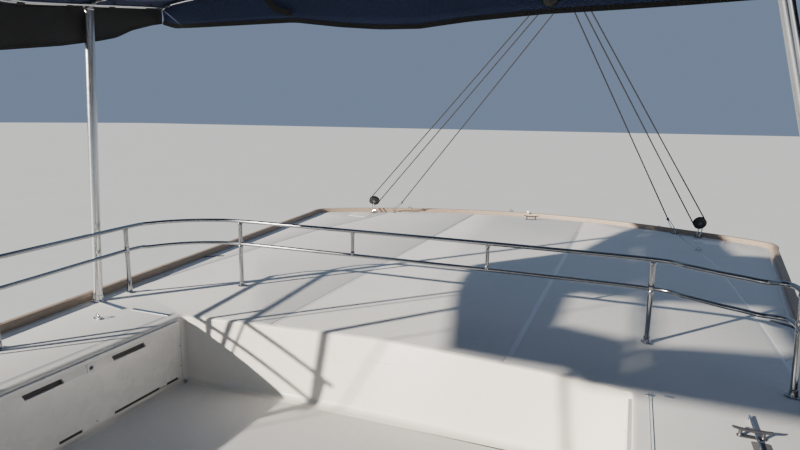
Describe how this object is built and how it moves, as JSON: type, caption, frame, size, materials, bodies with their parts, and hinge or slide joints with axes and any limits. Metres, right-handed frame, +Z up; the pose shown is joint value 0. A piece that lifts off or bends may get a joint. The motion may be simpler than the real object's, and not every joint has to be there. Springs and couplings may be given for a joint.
{
  "type": "sailing catamaran",
  "caption": "Cruising sailing catamaran with hollow deckhouse, railed flybridge, navy bimini, sloop rig, hinged boom, rudders, propellers, hatches, lockers and sliding door.",
  "frame": {"origin": "on the waterline, on the centreline, amidships", "axes": "+X forward to the bows, +Y to port, +Z up"},
  "size_m": [19.5, 9.6, 27.9],
  "materials": {
    "gelcoat": "glossy white gelcoat",
    "nonskid": "white deck moulding with non-slip panels",
    "antifoul": "dull dark blue bottom paint",
    "bronze": "cast bronze",
    "engine": "painted grey",
    "aluminium": "white or clear coated",
    "net": "woven net",
    "glass": "tinted",
    "teak": "oiled",
    "steel": "polished stainless tube and wire",
    "canvas": "navy acrylic canvas",
    "cushion": "woven cover",
    "interior": "satin joinery",
    "sailcloth": "rolled sailcloth",
    "block": "black moulded block on a stainless eye"
  },
  "bodies": {
    "boat": {"hull_port": "gelcoat", "hull_starboard": "gelcoat", "house_side_port": "gelcoat", "house_side_starboard": "gelcoat", "roof_support_port": "gelcoat", "roof_support_starboard": "gelcoat", "flybridge_locker_port": "gelcoat", "flybridge_locker_starboard": "gelcoat", "bridgedeck": "gelcoat", "catwalk": "gelcoat", "house_front": "gelcoat", "aft_bulkhead": "gelcoat", "flybridge_well": "gelcoat", "helm_console": "gelcoat", "helm_seat": "gelcoat", "flybridge_deck": "nonskid", "engine_port": "engine", "engine_starboard": "engine", "crossbeam": "aluminium", "mast": "aluminium", "trampoline_port": "net", "trampoline_starboard": "net", "side_glass_port": "glass", "side_glass_starboard": "glass", "bulkhead_glass_port": "glass", "bulkhead_glass_starboard": "glass", "front_glass": "glass", "fixed_door_glass": "glass", "toe_rail": "teak", "cockpit_table": "teak", "saloon_table": "teak", "flybridge_rail": "steel", "bimini_frame": "steel", "shroud_port": "steel", "shroud_starboard": "steel", "guard_rail_port": "steel", "guard_rail_starboard": "steel", "bimini_canvas": "canvas", "helm_cushion": "cushion", "cockpit_cushion": "cushion", "aft_cushion": "cushion", "saloon_seat": "interior", "galley": "interior", "forestay": "sailcloth", "sheet_pad_port": "block", "sheet_pad_starboard": "block"},
    "boom": {"boom": "aluminium", "sail_bag": "canvas"},
    "rudder_port": {"rudder_port": "antifoul"},
    "rudder_starboard": {"rudder_starboard": "antifoul"},
    "helm_wheel": {"helm_wheel": "steel"},
    "propeller_port": {"propeller_port": "bronze"},
    "propeller_starboard": {"propeller_starboard": "bronze"},
    "saloon_door": {"sliding_door": "aluminium", "sliding_door_glass": "glass"},
    "locker_door_port": {"locker_door_port": "gelcoat"},
    "locker_door_starboard": {"locker_door_starboard": "gelcoat"},
    "engine_hatch_port": {"engine_hatch_port": "nonskid"},
    "engine_hatch_starboard": {"engine_hatch_starboard": "nonskid"}
  },
  "joints": [
    {"name": "boom_swing", "type": "hinge", "parent": "boat", "child": "boom", "pos_m": [2.75, 0, 7.15], "axis": [0, 0, 1], "range_deg": [-56, 64]},
    {"name": "rudder_port", "type": "hinge", "parent": "boat", "child": "rudder_port", "pos_m": [-8.45, 3.7, -0.3], "axis": [0, 0, 1], "range_deg": [-35, 35]},
    {"name": "rudder_starboard", "type": "hinge", "parent": "boat", "child": "rudder_starboard", "pos_m": [-8.45, -3.7, -0.3], "axis": [0, 0, 1], "range_deg": [-35, 35]},
    {"name": "helm_wheel", "type": "hinge", "parent": "boat", "child": "helm_wheel", "pos_m": [1.95, 0.9, 4.33], "axis": [1, 0, 0], "range_deg": [-360, 360]},
    {"name": "propeller_port", "type": "hinge", "parent": "boat", "child": "propeller_port", "pos_m": [-6.93, 3.7, -1.01], "axis": [1, 0, 0], "continuous": true},
    {"name": "propeller_starboard", "type": "hinge", "parent": "boat", "child": "propeller_starboard", "pos_m": [-6.93, -3.7, -1.01], "axis": [1, 0, 0], "continuous": true},
    {"name": "saloon_door", "type": "slide", "parent": "boat", "child": "saloon_door", "axis": [0, -1, 0], "range_m": [0, 0.7]},
    {"name": "locker_door_port", "type": "hinge", "parent": "boat", "child": "locker_door_port", "pos_m": [-1.85, 1.6257, 3.265], "axis": [1, 0, 0], "range_deg": [0, 90]},
    {"name": "locker_door_starboard", "type": "hinge", "parent": "boat", "child": "locker_door_starboard", "pos_m": [-1.85, -1.6257, 3.265], "axis": [-1, 0, 0], "range_deg": [0, 90]},
    {"name": "engine_hatch_port", "type": "hinge", "parent": "boat", "child": "engine_hatch_port", "pos_m": [-6.105, 3.7, 1.8], "axis": [0, 1, 0], "range_deg": [0, 80]},
    {"name": "engine_hatch_starboard", "type": "hinge", "parent": "boat", "child": "engine_hatch_starboard", "pos_m": [-6.105, -3.7, 1.8], "axis": [0, 1, 0], "range_deg": [0, 80]}
  ],
  "couplings": [
    {"joint": "rudder_starboard", "follows": "rudder_port", "ratio": 1},
    {"joint": "helm_wheel", "follows": "rudder_port", "ratio": 10}
  ]
}
